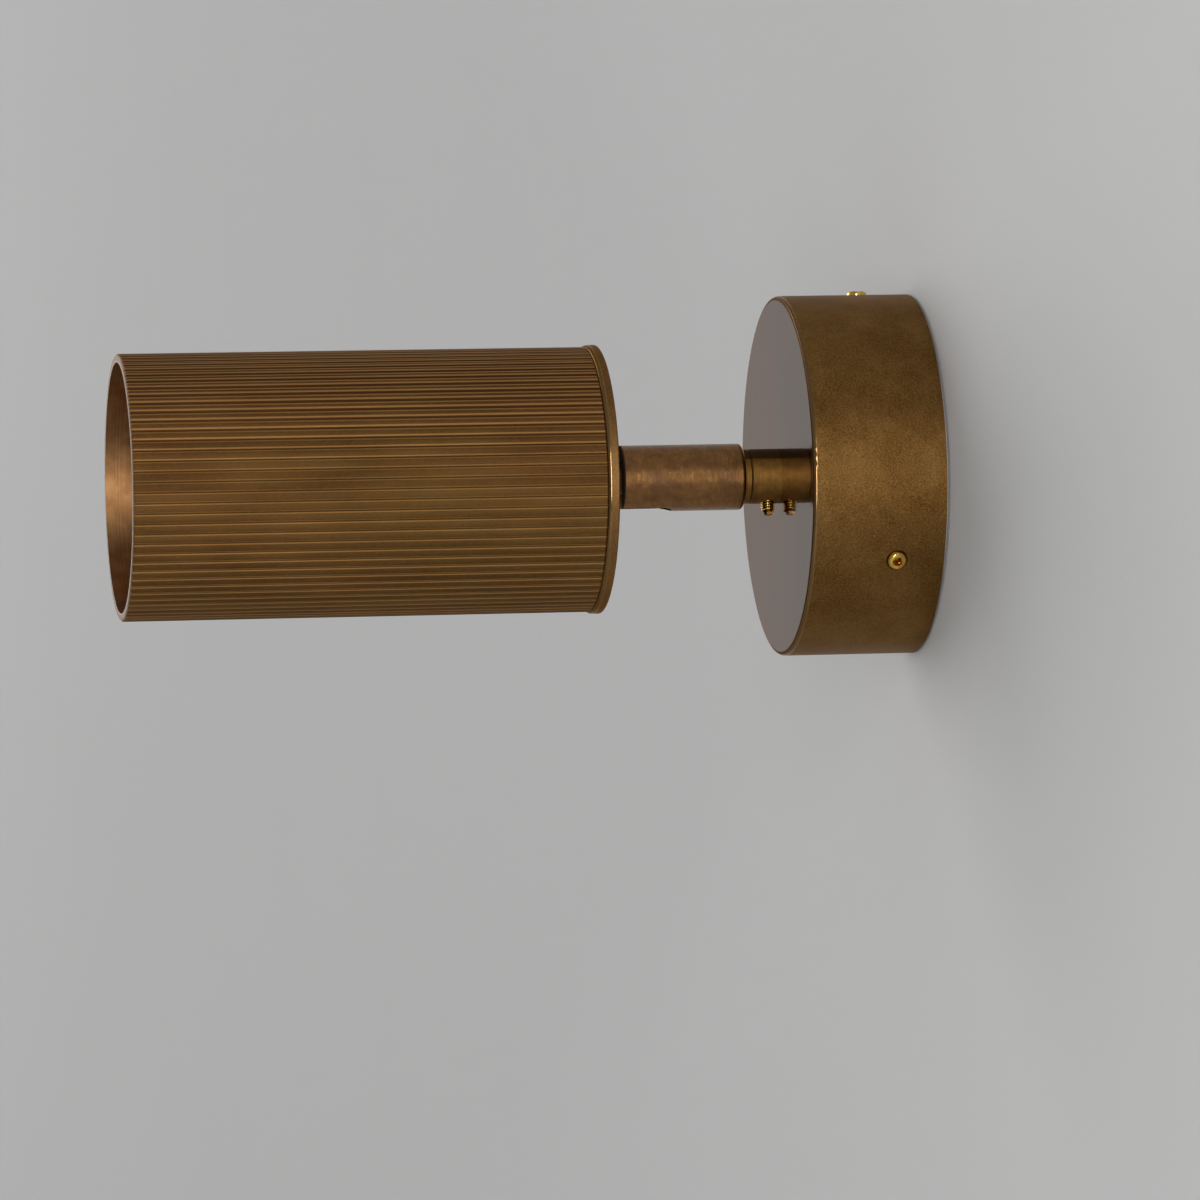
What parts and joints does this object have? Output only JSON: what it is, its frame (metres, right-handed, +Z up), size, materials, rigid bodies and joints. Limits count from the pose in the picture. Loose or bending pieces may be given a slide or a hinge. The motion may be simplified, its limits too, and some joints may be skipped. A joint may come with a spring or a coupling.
{
  "type": "wall spotlight",
  "caption": "Brass wall spotlight with a reeded tube head on a turning and tilting knuckle, carried by a round wall cup held on a hidden wall plate by side screws.",
  "frame": {"origin": "centre of the wall plate's contact face, on the lamp's axis at the wall", "axes": "+Y into the wall, so the head points along -Y at rest; +Z up; +X to the side that the picture shows"},
  "size_m": [0.1, 0.2211, 0.101],
  "materials": {
    "cup_brass": "aged satin brass, clear lacquer",
    "reed_brass": "aged satin brass, brighter on the reed crests",
    "cap_brass": "aged satin brass, rubbed edges",
    "stem_brass": "aged mottled brass",
    "collar_brass": "turned brass, fine tool marks",
    "spigot_brass": "turned brass",
    "screw_brass": "bright brass",
    "inner_brass": "plain machined brass",
    "plate_steel": "zinc plated",
    "bush_rubber": "matte",
    "seat_plastic": "natural acetal",
    "block_plastic": "natural polyamide",
    "holder_ceramic": "glazed ceramic",
    "lamp_shell": "white moulded",
    "lamp_glass": "clear lens"
  },
  "bodies": {
    "base": {"backplate_cup": "cup_brass", "wall_plate": "plate_steel", "cup_screws": "screw_brass", "cable_bush": "bush_rubber", "terminal_block": "block_plastic", "terminal_tubes": "inner_brass", "terminal_screws": "plate_steel", "block_screws": "plate_steel", "earth_stud": "inner_brass", "earth_tag": "inner_brass", "earth_washer": "inner_brass", "earth_nut": "inner_brass", "collar": "collar_brass", "collar_washer": "plate_steel", "collar_nut": "inner_brass", "grub_screw": "screw_brass"},
    "stem": {"knuckle_stem": "stem_brass", "pan_spigot": "spigot_brass", "ball_seat": "seat_plastic"},
    "head": {"ball_neck": "stem_brass", "neck_washer": "plate_steel", "neck_nut": "inner_brass", "rear_cap": "cap_brass", "head_tube": "reed_brass", "holder_pillars": "inner_brass", "lampholder": "holder_ceramic", "holder_contacts": "inner_brass", "holder_screws": "plate_steel", "lamp_base": "lamp_shell", "lamp_pins": "inner_brass", "lamp_body": "lamp_shell", "lamp_lens": "lamp_glass"}
  },
  "joints": [
    {"name": "stem_pan", "type": "hinge", "parent": "base", "child": "stem", "pos_m": [0, -0.042, 0], "axis": [0, 1, 0], "range_deg": [-175, 175]},
    {"name": "head_tilt", "type": "hinge", "parent": "stem", "child": "head", "pos_m": [0, -0.0725, 0], "axis": [1, 0, 0], "range_deg": [0, 78]}
  ]
}
